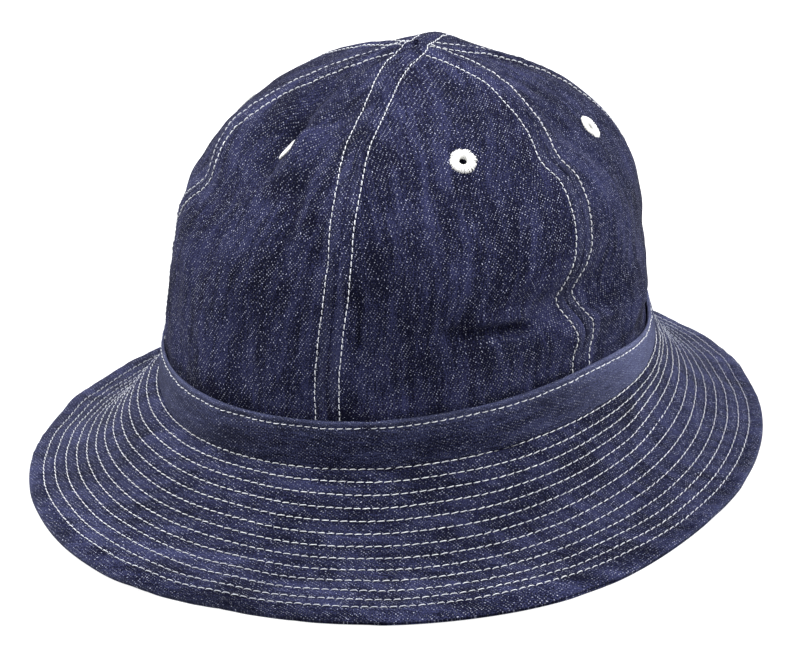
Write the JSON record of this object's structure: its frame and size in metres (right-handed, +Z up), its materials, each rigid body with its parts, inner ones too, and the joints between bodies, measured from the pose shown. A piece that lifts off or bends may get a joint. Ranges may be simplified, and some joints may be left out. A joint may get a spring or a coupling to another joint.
{
  "type": "denim army hat",
  "caption": "Soft panelled denim hat with a domed crown, a sewn hatband, thread eyelets and a flaring brim held by rows of stitching.",
  "frame": {"origin": "on the ground, under the middle of the rim's outline seen from above", "axes": "+Z up through the crown, -Y towards the front seam, +X towards the wearer's left"},
  "size_m": [0.2754, 0.2852, 0.1574],
  "materials": {
    "denim": "dark washed indigo twill with pale flecks, matt",
    "thread": "off-white satin embroidery thread"
  },
  "bodies": {
    "root": {"crown_panel_1": "denim", "crown_panel_2": "denim", "crown_panel_3": "denim", "crown_panel_4": "denim", "crown_panel_5": "denim", "crown_panel_6": "denim", "hatband": "denim", "brim_upper": "denim", "brim_under": "denim", "eyelet_1": "thread", "eyelet_2": "thread", "eyelet_3": "thread", "eyelet_4": "thread", "eyelet_5": "thread", "eyelet_6": "thread"}
  },
  "joints": []
}
